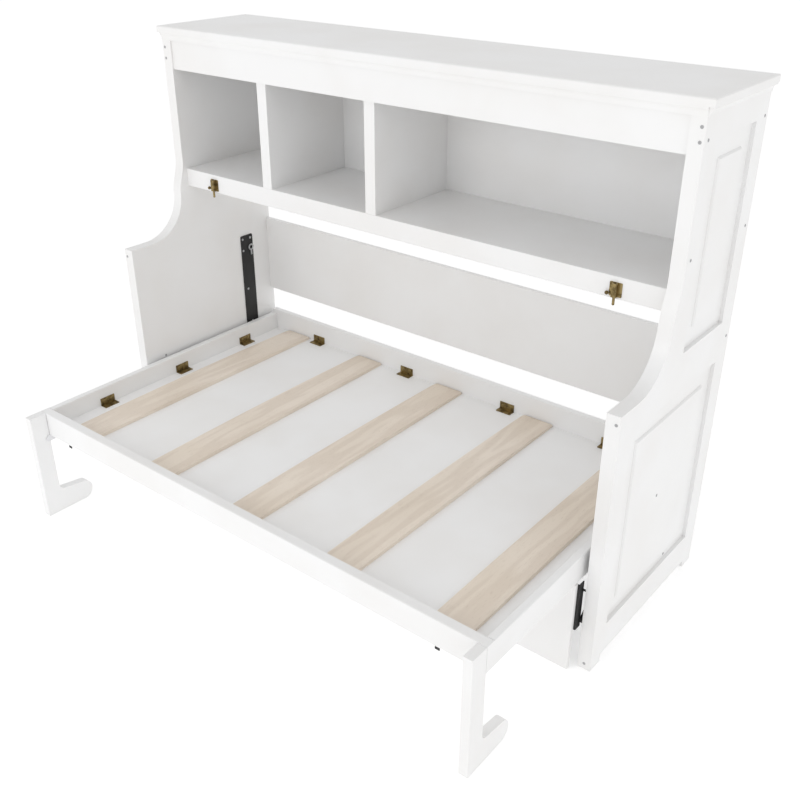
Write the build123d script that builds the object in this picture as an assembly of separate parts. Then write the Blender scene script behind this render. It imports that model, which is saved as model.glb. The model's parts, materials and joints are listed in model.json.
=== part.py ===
from build123d import *
import os

# Side-folding wall bed: a cabinet with an open bookcase on top, and a bed that swings up
# about two steel arms until its underside stands between the cabinet's side panels.
# Millimetres. X runs along the bed, Y towards the wall, Z up. The origin is on the floor,
# under the middle of the open bed's outline.

# ---------------------------------------------------------------- driving dimensions
cabinet_width = 2110.0
cabinet_depth = 725.0
cabinet_height = 1677.0
side_thickness = 44.0
front_y = -80.0                       # front plane of the deep lower part of the sides
wall_y = front_y + cabinet_depth      # back plane, against the wall
hutch_setback = 289.0                 # how far the bookcase stands behind the front plane
hutch_front_y = front_y + hutch_setback
side_half = cabinet_width / 2
inner_half = side_half - side_thickness

crown_board_thickness = 22.0
crown_overhang = 18.0                 # past the sides
crown_front_overhang = 7.0
cove_height = 26.0
side_top_z = cabinet_height - crown_board_thickness

shoulder_z = 899.0                    # top of the deep lower part of the sides
curve_radius = 163.0                  # concave curve from the shoulder up to the bookcase
curve_top_z = shoulder_z + curve_radius
curve_front_y = front_y + 100.0
slope_top_z = 1190.0                  # where the gentle slope above the curve ends
stile_width = 78.0
foot_height = 28.0
foot_length = 62.0
bottom_rail_top_z = 140.0
mid_rail_bottom_z = 816.0
mid_rail_top_z = 950.0
top_rail_bottom_z = 1560.0
panel_thickness = 38.0
field_bevel = 60.0
field_rise = 6.0

fascia_bottom_z = 1528.0
fascia_front_y = front_y + 295.0
fascia_thickness = 20.0
shelf_bottom_z = 1087.0
shelf_top_z = 1155.0
shelf_thickness = 25.0
apron_thickness = 20.0
apron_front_y = front_y + 305.0
back_thickness = 18.0
divider_thickness = 44.0
divider_centres = (-564.0, -70.0)
mid_back_bottom_z = 535.0
mid_back_top_z = 857.0
wall_screw_radius = 4.0
wall_screw_spacing_x = 1600.0
wall_screw_spacing_z = 60.0
wall_screw_z = 1600.0

bed_half = 994.0                      # half of the bed frame's outer length
bed_front_y = front_y - 500.0
bed_back_y = front_y + 720.0
rail_thickness = 25.0
front_rail_thickness = 34.0
rail_bottom_z = 334.0
rail_top_z = 424.0
back_rail_top_z = 439.0
deck_thickness = 18.0
deck_top_z = rail_bottom_z + deck_thickness
slat_width = 126.0
slat_thickness = 12.0
slat_rise = 6.0
slat_centres = (-830.0, -415.0, 0.0, 415.0, 830.0)
slat_front_y = bed_front_y + front_rail_thickness + 1.0
slat_back_y = bed_back_y - rail_thickness - 5.0

leg_depth = 64.0
leg_thickness = 31.0
leg_foot_height = 90.0                # where the foot leaves the upright
leg_toe_radius = 39.0
leg_foot_length = 200.0
leg_gap = 1.0
cheek_thickness = 3.0
leg_outer_skin = 8.0                  # wood left outside the leg's blind pin hole
cheek_gap = 0.5
leg_back_y = bed_front_y - leg_gap
leg_front_y = leg_back_y - leg_depth
leg_pivot_y = leg_back_y - 8.0
leg_pivot_z = rail_bottom_z - 13.0
leg_pin_radius = 4.0

arm_pivot_y = front_y + 30.0
arm_pivot_z = 170.0
bed_pivot_y = front_y + 252.0
bed_pivot_z = 379.0
arm_thickness = 6.0
arm_width = 40.0
arm_pin_radius = 6.0
pin_head_radius = 11.0
pin_head_thickness = 1.5
pin_head_gap = 0.4
pin_flange_radius = 22.0
pin_flange_thickness = 2.0
running_clearance = 0.05
steel_plate = 4.0
arm_inner_half = inner_half - 8.0     # the arm's face nearest the cabinet side

pivot_steel = 3.0
pivot_plate_bottom_z = 130.0
pivot_plate_top_z = 240.0
panel_angle_bottom_z = 150.0
panel_angle_top_z = 322.0

front_panel_gap = 20.0
front_panel_thickness = 16.0
front_panel_height = 326.0

plate_front_y = front_y + 550.0
plate_width = 65.0
plate_bottom_z = 390.0
plate_top_z = 811.0

latch_centres = (-853.0, 853.0)
latch_plate_width = 40.0
latch_plate_height = 44.0
latch_plate_bottom_z = 1094.0
latch_bolt_radius = 4.0
strike_x = 835.0
strike_width = 16.0
strike_drop = 10.0
latch_travel = 18.0
latch_bolt_y = apron_front_y - 8.0
latch_knob_z = latch_plate_bottom_z + 9.0
latch_stem_radius = 2.4
latch_tip_z = 1070.0

cap_radius = 5.0
cap_stand = 1.2


def block(x0, x1, y0, y1, z0, z1):
    """A box between two opposite corners."""
    size = Box(x1 - x0, y1 - y0, z1 - z0)
    return Pos((x0 + x1) / 2, (y0 + y1) / 2, (z0 + z1) / 2) * size


def rod_x(radius, x0, x1, y, z):
    """A round rod along X."""
    return Pos((x0 + x1) / 2, y, z) * Rot(0, 90, 0) * Cylinder(radius, x1 - x0)


def rod_y(radius, y0, y1, x, z):
    """A round rod along Y."""
    return Pos(x, (y0 + y1) / 2, z) * Rot(90, 0, 0) * Cylinder(radius, y1 - y0)


def rod_z(radius, z0, z1, x, y):
    """A round rod along Z."""
    return Pos(x, y, (z0 + z1) / 2) * Cylinder(radius, z1 - z0)


def yz_prism(outline, x0, x1):
    """A YZ outline, given as a sketch on Plane.YZ, carried from x0 to x1."""
    return Pos(x0, 0, 0) * extrude(outline, amount=x1 - x0)


def mirrored(shape):
    """The same piece on the other side of the bed."""
    return mirror(shape, about=Plane.YZ)


def save(name, shapes):
    """Writes one node; a list becomes a group of separate solids."""
    shape = Compound(children=list(shapes)) if isinstance(shapes, (list, tuple)) else shapes
    export_step(shape, f"parts/{name}.step")


# ---------------------------------------------------------------- cabinet sides
def side_outline():
    """Outline of a whole side: deep below, curving back to the bookcase above."""
    curve_end = (curve_front_y + curve_radius, curve_top_z)
    with BuildSketch(Plane.YZ) as sketch:
        with BuildLine():
            Line((front_y, 0), (front_y, shoulder_z))
            Line((front_y, shoulder_z), (curve_front_y, shoulder_z))
            RadiusArc((curve_front_y, shoulder_z), curve_end, -curve_radius)
            Spline(curve_end, (hutch_front_y, slope_top_z), tangents=((0, 1), (0, 1)))
            Line((hutch_front_y, slope_top_z), (hutch_front_y, side_top_z))
            Line((hutch_front_y, side_top_z), (wall_y, side_top_z))
            Line((wall_y, side_top_z), (wall_y, 0))
            Line((wall_y, 0), (front_y, 0))
        make_face()
    return sketch.sketch


def side_blank():
    return yz_prism(side_outline(), inner_half, side_half)


def upper_recess_front_y():
    return hutch_front_y + stile_width


def front_stile():
    """Everything of the side ahead of the two panels, with the curved shoulder and a foot."""
    lower_back = front_y + stile_width
    cut_low = block(0, side_half + 1, lower_back, wall_y + 1, -1, mid_rail_bottom_z)
    cut_high = block(0, side_half + 1, upper_recess_front_y(), wall_y + 1, mid_rail_bottom_z, side_top_z + 1)
    foot_step = block(0, side_half + 1, front_y + foot_length, lower_back + 1, -1, foot_height)
    return side_blank() - cut_low - cut_high - foot_step


def back_stile():
    stile = block(inner_half, side_half, wall_y - stile_width, wall_y, 0, side_top_z)
    foot_step = block(0, side_half + 1, wall_y - stile_width - 1, wall_y - foot_length, -1, foot_height)
    return stile - foot_step


def lower_rail(z0, z1):
    return block(inner_half, side_half, front_y + stile_width, wall_y - stile_width, z0, z1)


def upper_rail(z0, z1):
    return block(inner_half, side_half, upper_recess_front_y(), wall_y - stile_width, z0, z1)


def raised_panel(y0, y1, z0, z1):
    """A panel flush inside, with a bevelled raised field on the outer face."""
    sheet = block(inner_half, inner_half + panel_thickness - field_rise, y0, y1, z0, z1)
    field = block(inner_half + panel_thickness - field_rise - 1, inner_half + panel_thickness,
                  y0 + field_bevel, y1 - field_bevel, z0 + field_bevel, z1 - field_bevel)
    field = chamfer(field.edges().group_by(Axis.X)[-1], field_rise - 1)
    return sheet + field


# ---------------------------------------------------------------- crown and bookcase
def crown_board():
    board = block(-side_half - crown_overhang, side_half + crown_overhang,
                  hutch_front_y - crown_front_overhang, wall_y, side_top_z, cabinet_height)
    top_edges = board.edges().group_by(Axis.Z)[-1]
    front_and_ends = [edge for edge in top_edges if edge.center().Y < wall_y - 1]
    return chamfer(front_and_ends, 3)


def cove_section(reach):
    """Section of the moulding under the crown: a small foot, then a hollow out to its full reach."""
    foot = reach * 0.2
    lip = 5.0
    with BuildSketch(Plane.XZ) as sketch:
        with BuildLine():
            Line((0, 0), (0, -cove_height))
            Line((0, -cove_height), (foot, -cove_height))
            ThreePointArc((foot, -cove_height), (foot + (reach - foot) * 0.28, -cove_height * 0.45),
                          (reach, -lip))
            Line((reach, -lip), (reach, 0))
            Line((reach, 0), (0, 0))
        make_face()
    return sketch.sketch


def cove_side():
    """Moulding along the right side, from the front corner to the wall."""
    section = Pos(side_half, wall_y, side_top_z) * cove_section(crown_overhang - 3)
    return extrude(section, amount=wall_y - hutch_front_y)


def cove_front():
    """Moulding across the front, with a thicker back where it meets the fascia."""
    corner = Pos(-side_half, hutch_front_y, side_top_z) * Rot(0, 0, -90)
    section = corner * cove_section(crown_front_overhang - 1)
    run = extrude(section, amount=-cabinet_width)
    backing = block(-inner_half, inner_half, hutch_front_y, fascia_front_y,
                    side_top_z - cove_height, side_top_z)
    return run + backing


def fascia():
    return block(-inner_half, inner_half, fascia_front_y, fascia_front_y + fascia_thickness,
                 fascia_bottom_z, side_top_z)


def hutch_back():
    """Back of the bookcase, with four wall-screw holes hidden behind the fascia."""
    bottom = shelf_top_z - shelf_thickness
    board = block(-inner_half, inner_half, wall_y - back_thickness, wall_y, bottom, side_top_z)
    for x in (-wall_screw_spacing_x / 2, wall_screw_spacing_x / 2):
        for z in (wall_screw_z - wall_screw_spacing_z / 2, wall_screw_z + wall_screw_spacing_z / 2):
            board -= rod_y(wall_screw_radius, wall_y - back_thickness - 1, wall_y + 1, x, z)
    return board


def shelf_board():
    return block(-inner_half, inner_half, apron_front_y + apron_thickness, wall_y - back_thickness,
                 shelf_top_z - shelf_thickness, shelf_top_z)


def shelf_apron():
    apron = block(-inner_half, inner_half, apron_front_y, apron_front_y + apron_thickness,
                  shelf_bottom_z, shelf_top_z)
    front_edges = apron.edges().filter_by(Axis.X).group_by(Axis.Y)[0]
    return chamfer(front_edges, 1.5)


def divider(x):
    """Upright between two compartments, notched round the fascia."""
    half = divider_thickness / 2
    board = block(x - half, x + half, apron_front_y + 2, wall_y - back_thickness, shelf_top_z, side_top_z)
    notch = block(x - half - 1, x + half + 1, fascia_front_y - 1, fascia_front_y + fascia_thickness,
                  fascia_bottom_z, side_top_z + 1)
    return board - notch


def mid_back_panel():
    """Stretcher panel at the back, between the two open slits."""
    panel = block(-inner_half, inner_half, wall_y - back_thickness, wall_y,
                  mid_back_bottom_z, mid_back_top_z)
    return chamfer(panel.edges().filter_by(Axis.X), 1)


# ---------------------------------------------------------------- steel on the cabinet
def front_panel():
    """Fixed board in front of the cabinet, under the open bed."""
    back = front_y - front_panel_gap
    board = block(-bed_half, bed_half, back - front_panel_thickness, back, 0, front_panel_height)
    return chamfer(board.edges().filter_by(Axis.Z), 1.5)


def pivot_plate():
    """Flat plate on the side's inner face that carries the arm's lower pin."""
    plate = block(inner_half - pivot_steel, inner_half, front_y + 10, front_y + 62,
                  pivot_plate_bottom_z, pivot_plate_top_z)
    return fillet(plate.edges().filter_by(Axis.X), 8)


def panel_angle():
    """Angle at the end of the front board, tied to the cabinet's side by two short spacers."""
    back = front_y - front_panel_gap
    outer = bed_half + 6
    on_board = block(outer - 45, outer, back, back + pivot_steel, panel_angle_bottom_z, panel_angle_top_z)
    wing = block(outer - pivot_steel, outer, back + pivot_steel, front_y + 8,
                 panel_angle_bottom_z, panel_angle_top_z)
    low = rod_x(3.5, outer, inner_half, front_y + 4, panel_angle_bottom_z + 30)
    high = rod_x(3.5, outer, inner_half, front_y + 4, panel_angle_top_z - 30)
    return on_board + wing + low + high


def arm_pin():
    """Lower pin, standing out of the pivot plate, with a thin head inside the arm."""
    arm_inner_face = arm_inner_half - arm_thickness
    head_x = arm_inner_face - pin_head_gap - pin_head_thickness
    plate_face = inner_half - pivot_steel
    shank = rod_x(arm_pin_radius, head_x, plate_face, arm_pivot_y, arm_pivot_z)
    head = rod_x(pin_head_radius, head_x, head_x + pin_head_thickness, arm_pivot_y, arm_pivot_z)
    collar = rod_x(pin_head_radius, arm_inner_half + pin_head_gap, plate_face, arm_pivot_y, arm_pivot_z)
    return shank + head + collar


def rear_plate():
    """Tall plate on the side's inner face near the wall."""
    plate = block(inner_half - steel_plate, inner_half, plate_front_y, plate_front_y + plate_width,
                  plate_bottom_z, plate_top_z)
    return fillet(plate.edges().filter_by(Axis.X), 6)


def rear_plate_screws():
    """Screws of one rear plate, standing 2 mm proud of it."""
    spots = ((9, 15), (52, 15), (9, 65), (20, 241), (32, 395))
    screws = []
    for across, down in spots:
        head = rod_x(5, inner_half - steel_plate - 2, inner_half - steel_plate,
                     plate_front_y + across, plate_top_z - down)
        screws.append(chamfer(head.edges().group_by(Axis.X)[0], 1))
    return screws


def eyelet():
    """Ring on a short tab near the top of the rear plate."""
    y = plate_front_y + 51
    z = plate_top_z - 56
    x = inner_half - steel_plate
    ring = Pos(x - 3.2, y, z) * Rot(0, 90, 0) * Torus(11, 3.2)
    tab = block(x - 5, x - 1, y - 4, y + 4, z - 34, z - 9)
    foot = block(x - 1.5, x, y - 4, y + 4, z - 34, z - 20)
    return ring + tab + foot


# ---------------------------------------------------------------- lift arms
def lift_arm():
    """Flat bar between the lower pin and the bed's pin, with round ends."""
    run_y = bed_pivot_y - arm_pivot_y
    run_z = bed_pivot_z - arm_pivot_z
    with BuildSketch(Plane.YZ) as sketch:
        with Locations(((arm_pivot_y + bed_pivot_y) / 2, (arm_pivot_z + bed_pivot_z) / 2)):
            length = (run_y ** 2 + run_z ** 2) ** 0.5
            angle = Vector(run_y, run_z, 0).get_signed_angle(Vector(1, 0, 0), Vector(0, 0, -1))
            SlotCenterToCenter(length, arm_width, rotation=angle)
        hole = arm_pin_radius + running_clearance
        with Locations((arm_pivot_y, arm_pivot_z), (bed_pivot_y, bed_pivot_z)):
            Circle(hole, mode=Mode.SUBTRACT)
    return yz_prism(sketch.sketch, arm_inner_half - arm_thickness, arm_inner_half)


# ---------------------------------------------------------------- bed
def side_rail():
    rail = block(bed_half - rail_thickness, bed_half, bed_front_y + front_rail_thickness,
                 bed_back_y - rail_thickness, rail_bottom_z, rail_top_z)
    return chamfer(rail.edges().filter_by(Axis.Y).group_by(Axis.Z)[-1], 2)


def front_rail():
    rail = block(-bed_half, bed_half, bed_front_y, bed_front_y + front_rail_thickness,
                 rail_bottom_z, rail_top_z)
    return chamfer(rail.edges().filter_by(Axis.X).group_by(Axis.Z)[-1], 2)


def back_rail():
    rail = block(-bed_half, bed_half, bed_back_y - rail_thickness, bed_back_y,
                 rail_bottom_z, back_rail_top_z)
    return chamfer(rail.edges().filter_by(Axis.X).group_by(Axis.Z)[-1], 2)


def deck():
    return block(-bed_half + rail_thickness, bed_half - rail_thickness, bed_front_y + front_rail_thickness,
                 bed_back_y - rail_thickness, rail_bottom_z, deck_top_z)


def slat(x):
    """A strip that bows upwards along its length; its underside is flat on the deck."""
    middle_y = (slat_front_y + slat_back_y) / 2
    end_z = deck_top_z + slat_thickness
    with BuildSketch(Plane.YZ) as sketch:
        with BuildLine():
            Line((slat_front_y, deck_top_z), (slat_front_y, end_z))
            ThreePointArc((slat_front_y, end_z), (middle_y, end_z + slat_rise), (slat_back_y, end_z))
            Line((slat_back_y, end_z), (slat_back_y, deck_top_z))
            Line((slat_back_y, deck_top_z), (slat_front_y, deck_top_z))
        make_face()
    strip = yz_prism(sketch.sketch, x - slat_width / 2, x + slat_width / 2)
    upright_edges = strip.edges().filter_by(Axis.Z)
    return fillet(upright_edges, 6)


bracket_length = 62.0
bracket_leg = 30.0
bracket_steel = 3.0
side_bracket_ys = (front_y - 233.0, front_y + 138.0, front_y + 492.0)
back_bracket_xs = (-710.0, -218.0, 274.0, 710.0)


def side_bracket(y):
    """Angle joining the right rail to the deck."""
    face = bed_half - rail_thickness
    upright = block(face - bracket_steel, face, y - bracket_length / 2, y + bracket_length / 2,
                    deck_top_z, deck_top_z + bracket_leg)
    flat = block(face - bracket_leg, face - bracket_steel, y - bracket_length / 2,
                 y + bracket_length / 2, deck_top_z, deck_top_z + bracket_steel)
    return upright + flat


def back_bracket(x):
    """Angle joining the back rail to the deck."""
    face = bed_back_y - rail_thickness
    upright = block(x - bracket_length / 2, x + bracket_length / 2, face - bracket_steel, face,
                    deck_top_z, deck_top_z + bracket_leg)
    flat = block(x - bracket_length / 2, x + bracket_length / 2, face - bracket_leg,
                 face - bracket_steel, deck_top_z, deck_top_z + bracket_steel)
    return upright + flat


def bracket_screws():
    """Two screws in the upright leg of every angle."""
    screws = []
    z = deck_top_z + bracket_leg * 0.6
    for y in side_bracket_ys:
        for step in (-18, 18):
            face = bed_half - rail_thickness - bracket_steel
            right = rod_x(3.5, face - 1.5, face, y + step, z)
            screws.append(right)
            screws.append(mirrored(right))
    for x in back_bracket_xs:
        for step in (-18, 18):
            face = bed_back_y - rail_thickness - bracket_steel
            screws.append(rod_y(3.5, face - 1.5, face, x + step, z))
    return screws


def bed_pin():
    """Upper pin: a round flange on the rail, and a shank through the arm with a thin head."""
    flange_face = bed_half + pin_flange_thickness
    head_x = arm_inner_half + pin_head_gap
    flange = rod_x(pin_flange_radius, bed_half, flange_face, bed_pivot_y, bed_pivot_z)
    shank = rod_x(arm_pin_radius, flange_face, head_x, bed_pivot_y, bed_pivot_z)
    head = rod_x(pin_head_radius, head_x, head_x + pin_head_thickness, bed_pivot_y, bed_pivot_z)
    return flange + shank + head


def strike_tab(x):
    """Small bent plate under the front rail, with a lip that hangs from its lower front edge."""
    half = strike_width / 2
    flat = block(x - half, x + half, bed_front_y + 1, bed_front_y + 24, rail_bottom_z - 2, rail_bottom_z)
    lip = block(x - half, x + half, bed_front_y, bed_front_y + 2, rail_bottom_z - strike_drop, rail_bottom_z)
    return flat + lip


# ---------------------------------------------------------------- legs
def leg_board():
    """One J-shaped board: an upright, and a foot that runs back to a round end."""
    toe_y = leg_front_y + leg_foot_length - leg_toe_radius
    crook = 22.0
    with BuildSketch(Plane.YZ) as sketch:
        with BuildLine():
            Polyline((leg_front_y, 0), (leg_front_y, rail_top_z), (leg_back_y, rail_top_z),
                     (leg_back_y, leg_foot_height + crook))
            ThreePointArc((leg_back_y, leg_foot_height + crook),
                          (leg_back_y + crook * 0.27, leg_foot_height + crook * 0.25),
                          (leg_back_y + crook, leg_foot_height - 1.5))
            Polyline((leg_back_y + crook, leg_foot_height - 1.5), (toe_y, 2 * leg_toe_radius))
            ThreePointArc((toe_y, 2 * leg_toe_radius), (toe_y + leg_toe_radius, leg_toe_radius), (toe_y, 0))
            Line((toe_y, 0), (leg_front_y, 0))
        make_face()
    board = yz_prism(sketch.sketch, bed_half - leg_thickness, bed_half)
    pin_hole = rod_x(leg_pin_radius + running_clearance, bed_half - leg_thickness - 1,
                     bed_half - leg_outer_skin, leg_pivot_y, leg_pivot_z)
    return board - pin_hole


def leg_cheek(x0):
    """Ear beside the leg, running forward from under the rail to the leg's pin."""
    ear = block(x0, x0 + cheek_thickness, leg_pivot_y, bed_front_y + 62,
                leg_pivot_z - 10, rail_bottom_z)
    nose = rod_x(10, x0, x0 + cheek_thickness, leg_pivot_y, leg_pivot_z)
    return ear + nose


def leg_bracket():
    """Hidden bracket: a base under the front rail, one cheek, and the pin the leg turns on."""
    cheek_x = bed_half - leg_thickness - cheek_gap - cheek_thickness
    base = block(cheek_x, bed_half - leg_outer_skin, bed_front_y + 1, bed_front_y + 62,
                 rail_bottom_z - 3, rail_bottom_z)
    pin = rod_x(leg_pin_radius, cheek_x, bed_half - leg_outer_skin - 1, leg_pivot_y, leg_pivot_z)
    return base + leg_cheek(cheek_x) + pin


# ---------------------------------------------------------------- shelf latches
def latch_plate(x):
    """Brass plate with a guide boss, bored for the sliding bolt and slotted for its knob."""
    half = latch_plate_width / 2
    bottom = latch_plate_bottom_z
    top = bottom + latch_plate_height
    plate = block(x - half, x + half, apron_front_y - 2, apron_front_y, bottom, top)
    plate = fillet(plate.edges().filter_by(Axis.Y), 3)
    boss = block(x - 8, x + 8, apron_front_y - 14, apron_front_y - 2, bottom + 1, top - 1)
    bore = rod_z(latch_bolt_radius + running_clearance, bottom - 1, top + 1, x, latch_bolt_y)
    slot_half = latch_stem_radius + 0.3
    slot = block(x - 9, x, latch_bolt_y - slot_half, latch_bolt_y + slot_half,
                 latch_knob_z - slot_half, latch_knob_z + slot_half + latch_travel)
    return plate + (boss - bore - slot)


def latch_bolt(x):
    """Round bolt, shown pushed down, with a knob out to the left."""
    shank_top = latch_plate_bottom_z + latch_plate_height - 4
    shank = rod_z(latch_bolt_radius, latch_tip_z, shank_top, x, latch_bolt_y)
    shank = chamfer(shank.edges().group_by(Axis.Z)[0], 1.5)
    stem = rod_x(latch_stem_radius, x - 22, x, latch_bolt_y, latch_knob_z)
    knob = Pos(x - 24, latch_bolt_y, latch_knob_z) * Rot(0, 90, 0) * Sphere(6)
    return shank + (stem + knob)


# ---------------------------------------------------------------- small screws on the sides
def outward_cap(face_x, depth, z):
    """A cap on a face that looks along X."""
    cap = rod_x(cap_radius, face_x, face_x + cap_stand, front_y + depth, z)
    return chamfer(cap.edges().group_by(Axis.X)[-1], 0.6)


def inward_cap(depth, z):
    """A cap on the side's inner face."""
    cap = rod_x(cap_radius, inner_half - cap_stand, inner_half, front_y + depth, z)
    return chamfer(cap.edges().group_by(Axis.X)[0], 0.6)


def forward_cap(x, face_y, z):
    """A cap on a front edge of the side."""
    cap = rod_y(cap_radius, face_y - cap_stand, face_y, x, z)
    return chamfer(cap.edges().group_by(Axis.Y)[0], 0.6)


def side_caps():
    """Round caps over the joining screws of both sides."""
    margin_x = inner_half + panel_thickness - field_rise
    field_x = inner_half + panel_thickness
    right = [
        outward_cap(side_half, 314, 1568),
        outward_cap(side_half, 316, 1246),
        outward_cap(side_half, 705, 1565),
        outward_cap(side_half, 701, 1246),
        outward_cap(side_half, 703, 887),
        outward_cap(field_x, 342, 471),
        outward_cap(margin_x, 492, 155),
        inward_cap(96, 424),
        forward_cap(side_half - 12, hutch_front_y, 1604),
        forward_cap(side_half - 12, hutch_front_y, 1565),
        forward_cap(side_half - 12, front_y, 871),
        forward_cap(side_half - 22, front_y, 22),
    ]
    return right + [mirrored(cap) for cap in right]


# ---------------------------------------------------------------- write every node
os.makedirs("parts", exist_ok=True)

right_side_pieces = {
    "front_stile": front_stile(),
    "back_stile": back_stile(),
    "bottom_rail": lower_rail(foot_height, bottom_rail_top_z),
    "mid_rail": upper_rail(mid_rail_bottom_z, mid_rail_top_z),
    "top_rail": upper_rail(top_rail_bottom_z, side_top_z),
    "lower_panel": raised_panel(front_y + stile_width, wall_y - stile_width,
                                bottom_rail_top_z, mid_rail_bottom_z),
    "upper_panel": raised_panel(upper_recess_front_y(), wall_y - stile_width,
                                mid_rail_top_z, top_rail_bottom_z),
}
for name, piece in right_side_pieces.items():
    save(f"side_right_{name}", piece)
    save(f"side_left_{name}", mirrored(piece))

both_sides = {
    "crown_cove": cove_side(),
    "pivot_plate": pivot_plate(),
    "panel_angle": panel_angle(),
    "rear_plate": rear_plate(),
    "lift_arm": lift_arm(),
    "bed_rail": side_rail(),
    "leg": leg_board(),
    "leg_bracket": leg_bracket(),
}
for name, piece in both_sides.items():
    save(f"{name}_right", piece)
    save(f"{name}_left", mirrored(piece))

save("arm_pins", [arm_pin(), mirrored(arm_pin())])
save("bed_pins", [bed_pin(), mirrored(bed_pin())])
save("rear_plate_eyelets", [eyelet(), mirrored(eyelet())])
plate_screws = rear_plate_screws()
save("rear_plate_screws", plate_screws + [mirrored(screw) for screw in plate_screws])
save("side_screw_caps", side_caps())

save("crown_board", crown_board())
save("crown_cove_front", cove_front())
save("fascia", fascia())
save("hutch_back", hutch_back())
save("shelf_board", shelf_board())
save("shelf_apron", shelf_apron())
for index, centre in enumerate(divider_centres, start=1):
    save(f"divider_{index}", divider(centre))
save("mid_back_panel", mid_back_panel())
save("front_panel", front_panel())

save("bed_rail_front", front_rail())
save("bed_rail_back", back_rail())
save("bed_deck", deck())
for index, centre in enumerate(slat_centres, start=1):
    save(f"slat_{index}", slat(centre))
right_brackets = [side_bracket(y) for y in side_bracket_ys]
left_brackets = [mirrored(bracket) for bracket in right_brackets]
save("deck_brackets", right_brackets + left_brackets + [back_bracket(x) for x in back_bracket_xs])
save("deck_bracket_screws", bracket_screws())
save("strike_tabs", [strike_tab(-strike_x), strike_tab(strike_x)])

for side, centre in zip(("left", "right"), latch_centres):
    save(f"latch_plate_{side}", latch_plate(centre))
    save(f"latch_bolt_{side}", latch_bolt(centre))
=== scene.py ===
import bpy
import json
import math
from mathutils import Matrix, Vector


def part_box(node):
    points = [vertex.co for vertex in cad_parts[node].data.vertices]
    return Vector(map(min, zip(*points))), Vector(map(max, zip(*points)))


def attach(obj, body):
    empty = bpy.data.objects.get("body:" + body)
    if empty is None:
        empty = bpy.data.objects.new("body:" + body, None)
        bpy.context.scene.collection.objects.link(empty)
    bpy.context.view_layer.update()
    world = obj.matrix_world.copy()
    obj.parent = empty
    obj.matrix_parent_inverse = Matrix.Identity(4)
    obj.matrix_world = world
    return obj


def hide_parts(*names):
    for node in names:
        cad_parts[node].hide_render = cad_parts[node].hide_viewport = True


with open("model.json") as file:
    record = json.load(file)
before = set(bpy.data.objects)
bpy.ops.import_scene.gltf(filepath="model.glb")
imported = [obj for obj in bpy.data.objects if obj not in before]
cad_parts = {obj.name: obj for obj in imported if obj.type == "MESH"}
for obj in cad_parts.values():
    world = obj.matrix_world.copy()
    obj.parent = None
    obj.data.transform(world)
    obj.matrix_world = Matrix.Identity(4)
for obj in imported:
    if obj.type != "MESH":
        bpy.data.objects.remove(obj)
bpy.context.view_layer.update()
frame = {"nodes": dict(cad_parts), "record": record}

# %% [markdown]
# # A side-folding wall bed, lesson by lesson
#
# The measured model is already in the scene when this script starts: every board, bar and
# pin is there as a plain mesh. This lesson gives each piece the look of a real one. The
# slats, the screws and the screw caps are drawn again in finer shape. Every other piece keeps
# its mesh and gets a finish, and the white boards get soft edges too.

nodes = frame["nodes"]


# %% [markdown]
# ## Node maths as plain expressions
#
# A material is a small machine of nodes, and so is a geometry tree. Wiring each node by hand
# hides the idea, so a socket is wrapped in a class that understands `+`, `-`, `*`, `/` and
# `**`. A formula for grain then reads like a formula.

# %% A wrapped socket
class Maths:
    def __init__(self, tree, socket):
        self.tree = tree
        self.socket = socket

    def combine(self, kind, first, second):
        return add_node(self.tree, "ShaderNodeMath", {"operation": kind}, {0: first, 1: second})

    def __add__(self, other):
        return self.combine("ADD", self, other)

    def __sub__(self, other):
        return self.combine("SUBTRACT", self, other)

    def __rsub__(self, other):
        return self.combine("SUBTRACT", other, self)

    def __mul__(self, other):
        return self.combine("MULTIPLY", self, other)

    def __truediv__(self, other):
        return self.combine("DIVIDE", self, other)

    def __pow__(self, other):
        return self.combine("POWER", self, other)

    __radd__ = __add__

    def sine(self):
        return self.combine("SINE", self, 0.0)

    def between(self, low, high):
        """0 below low, 1 above high, smooth in between."""
        settings = {"interpolation_type": "SMOOTHSTEP"}
        inputs = {"Value": self, "From Min": low, "From Max": high}
        return add_node(self.tree, "ShaderNodeMapRange", settings, inputs, "Result")


def connect(tree, socket, value):
    """Puts a wrapped socket's link, or a plain value, into a socket."""
    if isinstance(value, Maths):
        tree.links.new(value.socket, socket)
    else:
        socket.default_value = value


def add_node(tree, kind, settings=None, inputs=None, output=0):
    """Any node: its settings first, then the values or links of its sockets."""
    made = tree.nodes.new(kind)
    for name, value in (settings or {}).items():
        setattr(made, name, value)
    for name, value in (inputs or {}).items():
        connect(tree, made.inputs[name], value)
    return Maths(tree, made.outputs[output])


print("sockets can be added, subtracted and multiplied")


# %% [markdown]
# ## A finish, built one node at a time
#
# Every finish ends in the same kind of shader and reads the piece's own coordinates. They
# go with the piece when it moves, so the grain never slides. The methods are short names for
# the nodes used most.

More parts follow.
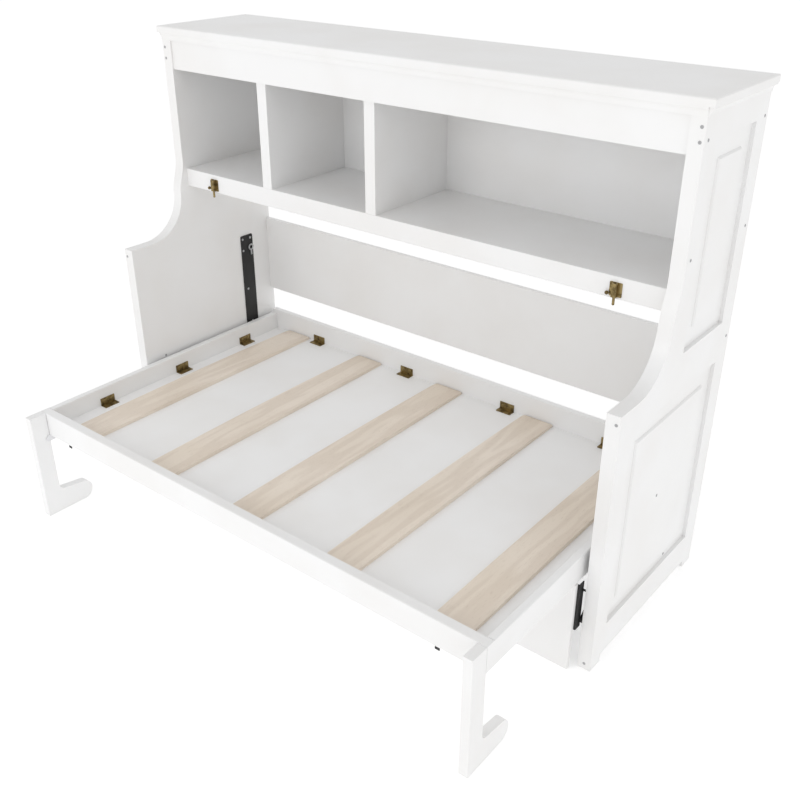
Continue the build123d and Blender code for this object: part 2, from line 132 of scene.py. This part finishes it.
# %% A finish
class Finish:
    def __init__(self, name):
        self.material = bpy.data.materials.new(name)
        self.material.use_nodes = True
        self.tree = self.material.node_tree
        self.tree.nodes.clear()
        self.shader = self.tree.nodes.new("ShaderNodeBsdfPrincipled")
        output = self.tree.nodes.new("ShaderNodeOutputMaterial")
        self.tree.links.new(self.shader.outputs[0], output.inputs[0])
        coordinates = self.tree.nodes.new("ShaderNodeTexCoord")
        self.place = Maths(self.tree, coordinates.outputs["Object"])

    def node(self, kind, settings=None, inputs=None, output=0):
        return add_node(self.tree, kind, settings, inputs, output)

    def stretched(self, x, y, z):
        """The coordinates, multiplied along each axis: a bigger number means a finer pattern."""
        return self.node("ShaderNodeVectorMath", {"operation": "MULTIPLY"}, {0: self.place, 1: (x, y, z)})

    def noise(self, scale, where=None, detail=4.0, roughness=0.5):
        values = {"Vector": where or self.place, "Scale": scale, "Detail": detail, "Roughness": roughness}
        return self.node("ShaderNodeTexNoise", None, values)

    def mix(self, amount, first, second):
        """A colour between two colours, by the node's colour sockets: 6 and 7 in, 2 out."""
        return self.node("ShaderNodeMix", {"data_type": "RGBA"}, {0: amount, 6: first, 7: second}, 2)

    def bump(self, height, strength, distance):
        values = {"Height": height, "Strength": strength, "Distance": distance}
        return self.node("ShaderNodeBump", None, values)

    def set(self, **sockets):
        """Gives the shader's sockets their links or values, and returns the material."""
        for name, value in sockets.items():
            connect(self.tree, self.shader.inputs[name.replace("_", " ")], value)
        return self.material


print("the shader tools are ready")


# %% [markdown]
# ## White lacquer on board
#
# Lacquer is never a flat white. It has a very fine orange peel, a slow change of tone where
# more or less paint went on, and a few dull handling marks. Painted shade darkens the colour
# in the corners, and the ambient occlusion node finds the corners.

# %% White lacquer
def white_lacquer(name, tone, peel, dull):
    finish = Finish(name)
    cloud = finish.noise(3.0, detail=3.0)
    marks = finish.noise(28.0, finish.stretched(1.0, 2.2, 0.6), detail=6.0).between(0.58, 0.80)
    # painted shade: ambient occlusion darkens the lacquer's colour in corners and between parts
    corner = finish.node("ShaderNodeAmbientOcclusion", {"samples": 4}, {"Distance": 0.03}, output=1)
    painted_corner_shade = (1 - corner) * 0.08
    warm = (tone * 0.97, tone * 0.962, tone * 0.952, 1)
    clean = finish.mix(cloud.between(0.35, 0.70), (tone, tone, tone, 1), warm)
    colour = finish.mix(painted_corner_shade, clean, (0.55, 0.53, 0.50, 1))
    fine = finish.noise(700.0, detail=2.0)
    coarse = finish.noise(150.0, detail=2.0)
    skin = finish.bump(fine * 0.5 + coarse * 0.5, peel, 0.0006)
    rough = dull + marks * 0.12 + cloud * 0.06
    return finish.set(Base_Color=colour, Roughness=rough, Normal=skin)


lacquer = white_lacquer("white_lacquer", 0.89, 0.22, 0.30)
deck_skin = white_lacquer("deck_skin", 0.94, 0.10, 0.42)
print("lacquers", lacquer.name, deck_skin.name)


# %% [markdown]
# ## Pale wood for the slats
#
# Slats are cut from peeled veneer, so the figure is long and lazy. One noise stretched along
# the slat bends a second, finer one; the two together make growth bands with pores in them.

# %% Slat wood
def slat_wood():
    finish = Finish("slat_wood")
    lazy = finish.noise(1.0, finish.stretched(9.0, 1.1, 9.0), detail=3.0)
    bands = ((lazy * 38.0).sine() * 0.5 + 0.5).between(0.10, 0.95)
    fibre = finish.noise(1.0, finish.stretched(420.0, 9.0, 420.0), detail=5.0, roughness=0.6)
    pores = finish.noise(1.0, finish.stretched(900.0, 34.0, 900.0), detail=2.0).between(0.62, 0.74)
    slow = finish.noise(2.3, detail=2.0)
    pale = finish.mix(slow.between(0.35, 0.7), (0.88, 0.79, 0.69, 1), (0.81, 0.715, 0.605, 1))
    ringed = finish.mix(bands * 0.28, pale, (0.62, 0.51, 0.41, 1))
    fibred = finish.mix(fibre.between(0.45, 0.75) * 0.35, ringed, (0.80, 0.72, 0.62, 1))
    colour = finish.mix(pores * 0.40, fibred, (0.36, 0.25, 0.17, 1))
    rough = 0.52 + fibre * 0.16 + pores * 0.10
    skin = finish.bump(fibre - pores * 0.7, 0.35, 0.0005)
    return finish.set(Base_Color=colour, Roughness=rough, Normal=skin)


wood = slat_wood()
print("wood", wood.name)


# %% [markdown]
# ## Metals
#
# Brass and zinc share one recipe: a tone, a slow tarnish, fine brushed lines along one
# direction, and a bump far too small to see as shape. Powder coat is different. It is paint,
# so it isn't metallic, and its grain is round. The caps' plastic has a grain like it, so it
# uses the same recipe.

# %% Metals and powder coat
def brushed_metal(name, bright, dark, rough_low, rough_high, lines):
    finish = Finish(name)
    tarnish = finish.noise(60.0, detail=5.0).between(0.40, 0.70)
    brushed = finish.noise(1.0, finish.stretched(*lines), detail=3.0)
    colour = finish.mix(tarnish, bright, dark)
    rough = rough_low + tarnish * (rough_high - rough_low) + brushed * 0.10
    skin = finish.bump(brushed, 0.15, 0.0002)
    return finish.set(Base_Color=colour, Metallic=1.0, Roughness=rough, Normal=skin)


def powder_coat(name, tone, worn):
    finish = Finish(name)
    grain = finish.noise(900.0, detail=2.0)
    wear = finish.noise(45.0, detail=6.0).between(0.66, 0.78)
    colour = finish.mix(wear * 0.5, (tone, tone, tone * 1.02, 1), worn)
    skin = finish.bump(grain, 0.35, 0.0004)
    return finish.set(Base_Color=colour, Roughness=0.42 + grain * 0.2, Normal=skin)


brass_tones = ((0.34, 0.26, 0.12, 1), (0.15, 0.11, 0.05, 1))
zinc_tones = ((0.60, 0.61, 0.62, 1), (0.40, 0.41, 0.42, 1))
brass = brushed_metal("aged_brass", *brass_tones, 0.34, 0.55, (700.0, 30.0, 30.0))
zinc = brushed_metal("zinc_plate", *zinc_tones, 0.28, 0.45, (40.0, 600.0, 600.0))
black = powder_coat("black_powder", 0.009, (0.10, 0.10, 0.10, 1))
white_coat = powder_coat("white_powder", 0.80, (0.66, 0.65, 0.63, 1))
cap_finish = powder_coat("grey_cap", 0.42, (0.30, 0.30, 0.30, 1))
print("metals", brass.name, zinc.name, black.name, cap_finish.name)


# %% [markdown]
# ## Soft edges on the measured boards
#
# A real board has no razor edge: it is sanded and the paint rounds it further. A bevel
# modifier works on the measured mesh without changing it. Its width follows the board's
# thickness, up to a limit. Steel and brass get none, and keep a crisp edge.

# %% Finishes and bevels for the carried-over pieces
finish_of_slot = {
    "white_board": lacquer,
    "slat_wood": wood,
    "brass": brass,
    "black_steel": black,
    "white_steel": white_coat,
    "bright_steel": zinc,
    "cap_plastic": cap_finish,
}
slot_of_node = {entry["node"]: entry["material_slot"] for entry in frame["record"]["subparts"]}


def soften(name, piece):
    low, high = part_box(name)
    thinnest = min(b - a for a, b in zip(low, high))
    bevel = piece.modifiers.new("soft_edge", "BEVEL")
    bevel.width = min(widest_bevel, thinnest * bevel_share)
    bevel.segments = 2
    bevel.limit_method = "ANGLE"
    bevel.angle_limit = math.radians(50)


widest_bevel = 0.0016
bevel_share = 0.08
for name, piece in nodes.items():
    material = deck_skin if name == "bed_deck" else finish_of_slot[slot_of_node[name]]
    piece.data.materials.clear()
    piece.data.materials.append(material)
    if slot_of_node[name] == "white_board":
        soften(name, piece)
print("finishes given to", len(nodes), "pieces")


# %% [markdown]
# ## Geometry Nodes for whatever repeats
#
# The slats repeat, and so do the screws, so each kind has one small tree. A tree is built
# once. Each run gives it its inputs, evaluates it and keeps the result as a plain mesh.

# %% Tree helpers
class Tree:
    def __init__(self, name):
        self.group = bpy.data.node_groups.new(name, "GeometryNodeTree")
        self.group.interface.new_socket("Geometry", in_out="INPUT", socket_type="NodeSocketGeometry")
        self.group.interface.new_socket("Geometry", in_out="OUTPUT", socket_type="NodeSocketGeometry")
        self.start = self.group.nodes.new("NodeGroupInput")
        self.end = self.group.nodes.new("NodeGroupOutput")
        self.base = Maths(self.group, self.start.outputs[0])
        self.names = {}

    def given(self, name, kind, value):
        """A named input of the tree, with its value until another is given."""
        socket = self.group.interface.new_socket(name, in_out="INPUT", socket_type=kind)
        if value is not None:
            socket.default_value = value
        self.names[name] = socket.identifier
        return Maths(self.group, self.start.outputs[name])

    def node(self, kind, settings=None, inputs=None, output=0):
        return add_node(self.group, kind, settings, inputs, output)

    def close(self, geometry, material):
        """Realize Instances, then Set Material, then out."""
        real = self.node("GeometryNodeRealizeInstances", None, {0: geometry})
        dressed = self.node("GeometryNodeSetMaterial", None, {"Geometry": real, "Material": material})
        self.group.links.new(dressed.socket, self.end.inputs[0])


def grow(tree, name, base, values):
    """Runs a tree over a base mesh and returns the result as a plain object."""
    host = bpy.data.objects.new(name + "_host", base)
    bpy.context.scene.collection.objects.link(host)
    modifier = host.modifiers.new("tree", "NODES")
    modifier.node_group = tree.group
    for label, value in values.items():
        modifier[tree.names[label]] = value
    bpy.context.view_layer.update()
    ready = host.evaluated_get(bpy.context.evaluated_depsgraph_get())
    mesh = bpy.data.meshes.new_from_object(ready)
    bpy.data.objects.remove(host)
    piece = bpy.data.objects.new(name, mesh)
    bpy.context.scene.collection.objects.link(piece)
    return piece


def points_mesh(name, places, facings):
    """One vertex for each place, with the direction that the thing there faces."""
    mesh = bpy.data.meshes.new(name)
    mesh.from_pydata([tuple(place) for place in places], [], [])
    facing = mesh.attributes.new("facing", "FLOAT_VECTOR", "POINT")
    for index, direction in enumerate(facings):
        facing.data[index].vector = direction
    return mesh


print("tree helpers are ready")


# %% [markdown]
# ## Slats that bow upwards
#
# A slat is a fine block lifted by a rule. Its top rises to its highest in the middle of the
# length and comes back down at both ends, while its underside stays flat on the deck. The
# top dips by two millimetres right at the long edges and the ends: that is what sanding
# leaves. A high power keeps each dip narrow.

# %% Bowed slats
slat_end_thickness = 0.012
long_edge_dip = 0.0022
end_dip = 0.0020


def slat_tree():
    tree = Tree("bowed_slat")
    width = tree.given("Width", "NodeSocketFloat", 0.126)
    length = tree.given("Length", "NodeSocketFloat", 1.0)
    thick = tree.given("Thickness", "NodeSocketFloat", slat_end_thickness)
    rise = tree.given("Rise", "NodeSocketFloat", 0.006)
    material = tree.given("Finish", "NodeSocketMaterial", None)
    size = tree.node("ShaderNodeCombineXYZ", None, {0: width, 1: length, 2: thick})
    counts = {"Size": size, "Vertices X": 13, "Vertices Y": 61, "Vertices Z": 4}
    block = tree.node("GeometryNodeMeshCube", None, counts)
    place = tree.node("GeometryNodeInputPosition")
    across = tree.node("ShaderNodeSeparateXYZ", None, {0: place})
    along = tree.node("ShaderNodeSeparateXYZ", None, {0: place}, output=1)
    up = tree.node("ShaderNodeSeparateXYZ", None, {0: place}, output=2)
    end_nearness = (along / (length * 0.5)) ** 2
    edge_nearness = (across / (width * 0.5)) ** 2
    height = up / thick + 0.5
    bow = (1 - end_nearness) * rise * height
    worn_edge = (edge_nearness ** 12) * -long_edge_dip * height
    worn_end = (end_nearness ** 260) * -end_dip * height
    lift = tree.node("ShaderNodeCombineXYZ", None, {2: bow + worn_edge + worn_end})
    bent = tree.node("GeometryNodeSetPosition", None, {"Geometry": block, "Offset": lift})
    shaded = tree.node("GeometryNodeSetShadeSmooth", None, {"Geometry": bent, "Shade Smooth": False})
    tree.close(shaded, material)
    return tree


def make_slats():
    tree = slat_tree()
    names = sorted(name for name in nodes if name.startswith("slat_"))
    low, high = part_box(names[0])
    values = {
        "Width": high[0] - low[0],
        "Length": high[1] - low[1],
        "Thickness": slat_end_thickness,
        "Rise": high[2] - low[2] - slat_end_thickness,
        "Finish": wood,
    }
    for name in names:
        low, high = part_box(name)
        piece = grow(tree, "bowed_" + name, bpy.data.meshes.new("start"), values)
        centre_z = low[2] + slat_end_thickness / 2
        middle = Vector(((low[0] + high[0]) / 2, (low[1] + high[1]) / 2, centre_z))
        piece.data.transform(Matrix.Translation(middle))
        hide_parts(name)
        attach(piece, "bed")
    return names


slats = make_slats()
slat_low, slat_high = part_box(slats[0])
print("slats", len(slats), "height with the bow", round(slat_high[2] - slat_low[2], 4))


# %% [markdown]
# ## Screw heads with a cross in them
#
# One head is turned with twenty-four sides and gets a cross-shaped recess. The flat ring
# around the cross is four faces, one for each quarter. The tree puts a copy at each point
# and turns it so that its face looks along the stored direction. A seeded twist stops every
# cross from lining up.

# %% One screw head
def screw_head(radius, height):
    """A low dome with a cross sunk in it, facing +Z, its foot on z = 0."""
    sides = 24
    rings = ((radius, 0.0), (radius, height * 0.35), (radius * 0.86, height * 0.78), (radius * 0.62, height))
    reach, half, sunk = radius * 0.50, radius * 0.15, height * 0.40
    corners = []
    for ring_radius, level in rings:
        for step in range(sides):
            turn = 2 * math.pi * step / sides
            corners.append((ring_radius * math.cos(turn), ring_radius * math.sin(turn), level))
    faces = []
    for ring in range(len(rings) - 1):
        for step in range(sides):
            after = (step + 1) % sides
            first = ring * sides
            faces.append((first + step, first + after, first + sides + after, first + sides + step))
    faces.append(tuple(reversed(range(sides))))
    cross = []
    for quarter in range(4):
        turn = math.pi / 2 * quarter
        for x, y in ((reach, -half), (reach, half), (half, half)):
            cross.append((x * math.cos(turn) - y * math.sin(turn), x * math.sin(turn) + y * math.cos(turn)))
    top = len(corners)
    corners += [(x, y, height) for x, y in cross]
    bottom = len(corners)
    corners += [(x * 0.8, y * 0.8, sunk) for x, y in cross]
    count = len(cross)
    last_ring = (len(rings) - 1) * sides
    quarter_sides = sides // 4
    for quarter in range(4):
        ring_start = quarter * quarter_sides - quarter_sides // 2
        arc = [last_ring + (ring_start + step) % sides for step in range(quarter_sides + 1)]
        inner = [top + (quarter * 3 + step) % count for step in (-1, 0, 1, 2)]
        faces.append(tuple(arc + inner[::-1]))
    for step in range(count):
        after = (step + 1) % count
        faces.append((top + step, top + after, bottom + after, bottom + step))
    faces.append(tuple(bottom + step for step in range(count)))
    mesh = bpy.data.meshes.new("screw_head")
    mesh.from_pydata(corners, [], faces)
    mesh.validate()
    return mesh


def seat_tree(name):
    """Puts a given object at every point, facing the point's direction, with a seeded twist."""
    tree = Tree(name)
    thing = tree.given("Thing", "NodeSocketObject", None)
    material = tree.given("Finish", "NodeSocketMaterial", None)
    seed = tree.given("Seed", "NodeSocketInt", 11)
    shape = tree.node("GeometryNodeObjectInfo", None, {"Object": thing}, output="Geometry")
    facing = tree.node("GeometryNodeInputNamedAttribute", {"data_type": "FLOAT_VECTOR"}, {"Name": "facing"})
    turned = tree.node("FunctionNodeAlignRotationToVector", {"axis": "Z"}, {"Vector": facing})
    spread = {2: 0.0, 3: 1.5, "Seed": seed}
    chance = tree.node("FunctionNodeRandomValue", {"data_type": "FLOAT"}, spread, output=1)
    twist = tree.node("ShaderNodeCombineXYZ", None, {2: chance})
    as_turn = tree.node("FunctionNodeEulerToRotation", None, {0: twist})
    both = tree.node("FunctionNodeRotateRotation", {"rotation_space": "LOCAL"}, {0: turned, 1: as_turn})
    placing = {"Points": tree.base, "Instance": shape, "Rotation": both}
    tree.close(tree.node("GeometryNodeInstanceOnPoints", None, placing), material)
    return tree


seats = seat_tree("seated_things")
print("the seating tree takes", list(seats.names))


# %% [markdown]
# ## Where each screw sits
#
# The measured model keeps a group of screws as one mesh of separate lumps. Corners that
# share a place or an edge belong to the same lump, so a small search over them gives each
# lump's box. Reading the places from the model keeps the screws right if it changes.

# %% Finding the separate lumps
def islands_of(node):
    """The separate solids of a measured node, each as (lowest corner, highest corner)."""
    mesh = node.data
    parent = list(range(len(mesh.vertices)))

    def root(index):
        while parent[index] != index:
            parent[index] = parent[parent[index]]
            index = parent[index]
        return index

    same_place = {}
    for vertex in mesh.vertices:
        key = tuple(round(c, 5) for c in vertex.co)
        if key in same_place:
            parent[root(vertex.index)] = root(same_place[key])
        same_place[key] = vertex.index
    for edge in mesh.edges:
        parent[root(edge.vertices[0])] = root(edge.vertices[1])
    boxes = {}
    for vertex in mesh.vertices:
        low, high = boxes.setdefault(root(vertex.index), (vertex.co.copy(), vertex.co.copy()))
        for axis in range(3):
            low[axis] = min(low[axis], vertex.co[axis])
            high[axis] = max(high[axis], vertex.co[axis])
    return sorted(boxes.values(), key=lambda box: tuple(box[0]))


print("lumps in the rear plate screws", len(islands_of(nodes["rear_plate_screws"])))


# %% [markdown]
# ## Seating the heads
#
# Each head faces away from the surface it holds: into the bed's bay on the plates and the
# angles, and outwards on the sides. A lump's thinnest direction is the screw's own axis.

# %% Seating the heads
def seat_screws(node_name, body, slot, material, facing_rule, radius, height):
    """Real heads in place of a measured group of screws."""
    places, facings = [], []
    for low, high in islands_of(nodes[node_name]):
        middle = (low + high) / 2
        size = high - low
        axis = min(range(3), key=lambda k: size[k])
        direction = facing_rule(middle, axis)
        foot = middle.copy()
        foot[axis] = low[axis] if direction[axis] > 0 else high[axis]
        places.append(foot)
        facings.append(direction)
    head = bpy.data.objects.new("head_model", screw_head(radius, height))
    bpy.context.scene.collection.objects.link(head)
    values = {"Thing": head, "Finish": material, "Seed": 11}
    piece = grow(seats, "seated_" + node_name, points_mesh("points", places, facings), values)
    bpy.data.objects.remove(head)
    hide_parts(node_name)
    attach(piece, body)
    return len(places)


def into_the_bay(middle, axis):
    """Towards the middle of the bed, along the screw's own axis."""
    direction = Vector((0, 0, 0))
    direction[axis] = -1.0 if middle[axis] > 0 else 1.0
    return direction


def out_of_the_side(middle, axis):
    """Forwards on the front edges, outwards on the outer faces, inwards on the inner ones."""
    direction = Vector((0, 0, 0))
    inner_face = abs(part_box("rear_plate_right")[1][0])
    outwards = 1.0 if abs(middle[0]) > inner_face else -1.0
    direction[axis] = -1.0 if axis == 1 else math.copysign(outwards, middle[0])
    return direction


plates = ("rear_plate_screws", "cabinet", "bright_steel", zinc, into_the_bay)
angles = ("deck_bracket_screws", "bed", "brass", brass, into_the_bay)
caps = ("side_screw_caps", "cabinet", "cap_plastic", cap_finish, out_of_the_side)
plate_count = seat_screws(*plates, radius=0.0050, height=0.0020)
angle_count = seat_screws(*angles, radius=0.0035, height=0.0015)
cap_count = seat_screws(*caps, radius=0.0050, height=0.0012)
print("screws", plate_count, angle_count, "caps", cap_count)


# %% [markdown]
# ## Floor
#
# The floor is pale and glows a little, so it reads as clean white paper with a faint contact
# shadow. It's wide enough to fill the camera's view to every corner.

# %% Floor
floor_half = 60.0
floor_corners = [(x * floor_half, y * floor_half, 0) for x, y in ((-1, -1), (1, -1), (1, 1), (-1, 1))]
floor_mesh = bpy.data.meshes.new("floor")
floor_mesh.from_pydata(floor_corners, [], [(0, 1, 2, 3)])
floor = bpy.data.objects.new("floor", floor_mesh)
bpy.context.scene.collection.objects.link(floor)
floor_finish = Finish("floor_paint")
pale = floor_finish.set(Base_Color=(0.90, 0.90, 0.90, 1), Roughness=0.9)
floor_finish.set(Emission_Color=(1.0, 1.0, 1.0, 1), Emission_Strength=0.30)
floor_mesh.materials.append(pale)
print("floor across", 2 * floor_half, "m")


# %% [markdown]
# ## Room and lamps
#
# White furniture needs gentle light, or its planes melt together. A bright even room does
# most of the work, but alone it would light the top as much as the front. The wide key adds
# a little to every face that looks forward and reaches into the compartments. The fill adds
# a little to the right side, so the planes part.

# %% Room and lamps
world = bpy.data.worlds.new("room")
world.use_nodes = True
background = world.node_tree.nodes["Background"]
background.inputs["Color"].default_value = (1.0, 1.0, 1.0, 1)
background.inputs["Strength"].default_value = 0.80
bpy.context.scene.world = world


def soft_lamp(name, place, target, size, power):
    lamp = bpy.data.lights.new(name, "AREA")
    lamp.shape = "SQUARE"
    lamp.size = size
    lamp.energy = power
    holder = bpy.data.objects.new(name, lamp)
    holder.location = place
    holder.rotation_euler = (Vector(target) - Vector(place)).to_track_quat("-Z", "Y").to_euler()
    bpy.context.scene.collection.objects.link(holder)


soft_lamp("key", place=(-0.8, -5.0, 2.8), target=(0, 0, 0.9), size=2.6, power=42)
soft_lamp("fill", place=(4.4, -1.2, 2.0), target=(1, 0, 0.9), size=2.6, power=9)
bpy.context.scene.view_settings.view_transform = "Standard"


# %% [markdown]
# ## Camera
#
# The camera stands off the right front corner, above the crown, and looks down into the open
# bed. It's turned to its left by the first angle and tipped down by the second.

# %% Camera
turned_left = math.radians(38.82)
tipped_down = math.radians(28.37)
lens = bpy.data.cameras.new("camera")
lens.sensor_width = 36.0
lens.lens = 43.40
camera = bpy.data.objects.new("camera", lens)
camera.location = (1.9896, -2.1740, 2.150)
camera.rotation_euler = (math.pi / 2 - tipped_down, 0.0, turned_left)
bpy.context.scene.collection.objects.link(camera)
bpy.context.scene.camera = camera
print("camera height", camera.location.z, "m")
